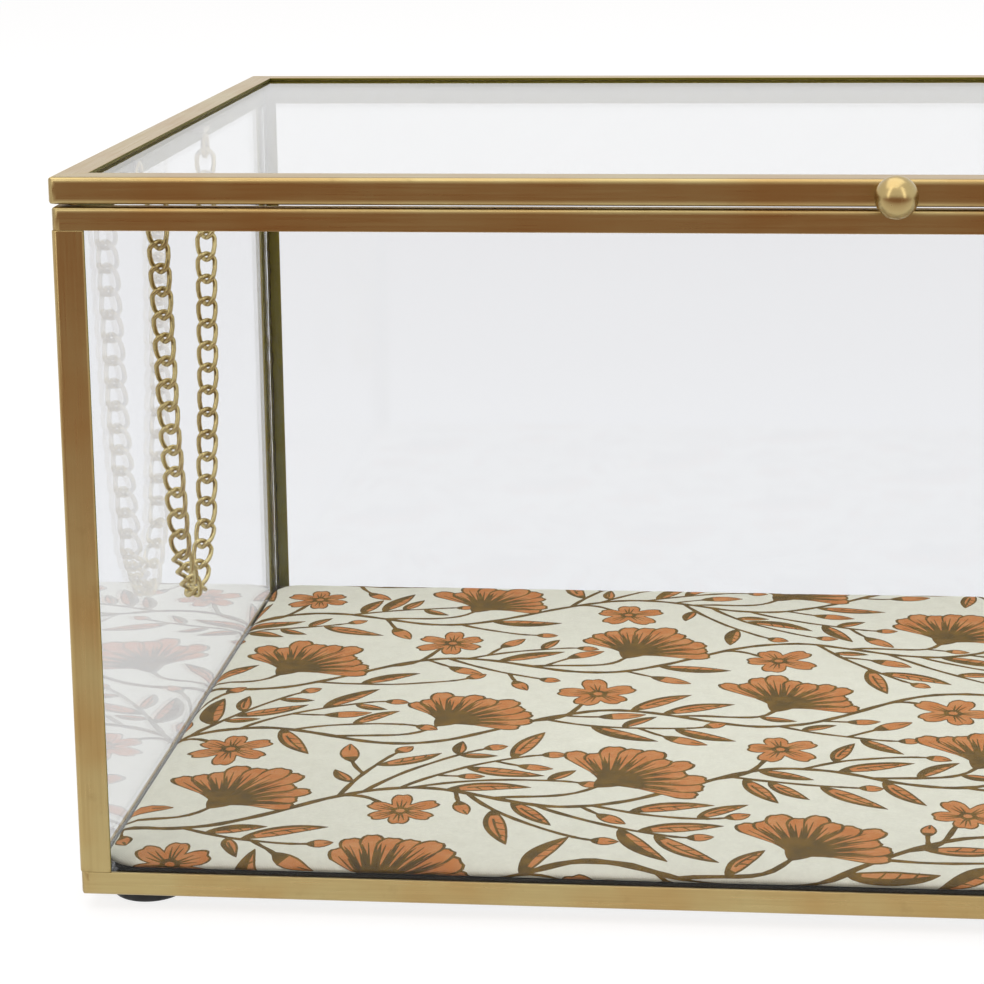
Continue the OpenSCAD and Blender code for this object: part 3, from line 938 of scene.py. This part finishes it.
def build_pad():
    """Padding in printed cotton, wrapped over the card. Each printed shape is cut into the mesh."""
    mats = [cotton("cotton_plain", CLOTH, CLOTH_FADED),
            cotton("cotton_red", PRINT_RED, PRINT_RED_FADED),
            cotton("cotton_brown", PRINT_BROWN, PRINT_BROWN_FADED)]
    cut = pad_ring(0, CUT_STEP)
    art = Print(PRINT_SEED)
    art.lay_out(max(p.real for p in cut), max(p.imag for p in cut))
    flat, faces, inks = cut_cloth(art, cut)
    points = [pad_place(complex(*p)) for p in flat]
    points = [(x * mm, y * mm + MIDDLE_Y, z * mm) for x, y, z in points]
    obj = piece("printed_pad", points, faces, mats, "case", slots=inks)
    close_pad(obj)
    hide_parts("fabric_pad")


def close_pad(obj):
    """Turns the cloth in under the padding, takes it down to just over the card's top, and closes it
    there.
    """
    bm = bmesh.new()
    bm.from_mesh(obj.data)
    for height in (None, (CARD_TOP + 0.03) * mm):
        edges = [e for e in bm.edges if e.is_boundary]
        new = bmesh.ops.extrude_edge_only(bm, edges=edges)["geom"]
        for v in (g for g in new if isinstance(g, bmesh.types.BMVert)):
            if height is None:
                v.co.x *= 1 - PAD_HEM / PAD_HALF[0]
                v.co.y = MIDDLE_Y + (v.co.y - MIDDLE_Y) * (1 - PAD_HEM / PAD_HALF[1])
            else:
                v.co.z = height
    bmesh.ops.triangle_fill(bm, use_beauty=True, edges=[e for e in bm.edges if e.is_boundary])
    bmesh.ops.recalc_face_normals(bm, faces=bm.faces)
    bm.to_mesh(obj.data)
    bm.free()


# ---- glue and knob ----

def glue_ring(sx, sy, z):
    """Points round the bead at height z, hollow to the room, with the corner itself last."""
    seed = Vector((sx * 3, sy * 5, z * 0.35))
    leg = GLUE_LEG * (1 + 0.35 * noise.noise(seed) + 0.16 * noise.noise(seed * 3.7))
    ring = []
    for k in range(GLUE_TURNS):
        a = math.pi / 2 * k / (GLUE_TURNS - 1)
        u, v = leg * (1 - 0.72 * math.sin(a)), leg * (1 - 0.72 * math.cos(a))
        ring.append((max(u - 0.28 * leg, 0.02), max(v - 0.28 * leg, 0.02)))
    ring.append((0.02, 0.02))
    return [(sx * (GLUE_CORNER[0] - u) * mm, MIDDLE_Y + sy * (GLUE_CORNER[1] - v) * mm, z * mm)
            for u, v in ring]


def build_glue():
    """A wavy bead of clear glue up each inner corner."""
    mat = glue_bead()
    around = GLUE_TURNS + 1
    for sx in (-1, 1):
        for sy in (-1, 1):
            points = []
            for i in range(GLUE_STEPS + 1):
                points += glue_ring(sx, sy, GLUE_LOW + (GLUE_HIGH - GLUE_LOW) * i / GLUE_STEPS)
            faces = tube_faces(GLUE_STEPS + 1, around, False)
            faces += [tuple(range(around)),
                      tuple(range((GLUE_STEPS + 1) * around - 1, GLUE_STEPS * around - 1, -1))]
            if sx * sy < 0:
                faces = [f[::-1] for f in faces]
            name = "glue_%s_%s" % ("back" if sy > 0 else "front", "right" if sx > 0 else "left")
            obj = piece(name, points, faces, [mat], "case")
            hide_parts("corner_sealant")


def knob_profile(ball, root):
    """Radius and place along the knob's axis, from the ball's front to the collar's back."""
    neck_angle = math.radians(152)
    profile = [(ball * math.sin(a), -ball * math.cos(a)) for a in
               (neck_angle * i / 40 for i in range(1, 41))]
    neck = profile[-1]
    profile += [(1.32 * mm, neck[1] + 0.12 * mm), (1.28 * mm, root - 0.62 * mm),
                (1.45 * mm, root - 0.52 * mm), (1.9 * mm, root - 0.48 * mm),
                (2 * mm, root - 0.38 * mm), (2 * mm, root)]
    return profile


def build_knob():
    """A turned ball on a waisted neck with a collar, on the lid's front rail."""
    mat = satin_brass("knob_brass", None, BRASS, BRASS_WARM, 0.26, 0.002 * mm)
    low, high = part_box("knob")
    ball = (high.z - low.z) / 2
    middle = Vector(((low.x + high.x) / 2, low.y + ball, (low.z + high.z) / 2))
    around = 72
    points = []
    profile = knob_profile(ball, high.y - middle.y)
    for r, along in profile:
        points += [(middle.x + r * math.cos(a), middle.y + along, middle.z + r * math.sin(a))
                   for a in (2 * math.pi * k / around for k in range(around))]
    rings = len(profile)
    faces = tube_faces(rings, around, False)
    faces += [tuple(range(around)), tuple(range(rings * around - 1, (rings - 1) * around - 1, -1))]
    obj = piece("turned_knob", points, faces, [mat], "lid")
    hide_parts("knob")


def main():
    """Builds it all, with the camera first."""
    bpy.context.scene.view_settings.view_transform = "Standard"
    build_camera()
    build_world()
    build_lights()
    build_stage()
    build_frame()
    build_glass()
    build_chain()
    build_knob()
    dress(["pad_card"], card(), 0.05 * mm)
    build_pad()
    build_glue()
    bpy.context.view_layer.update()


main()
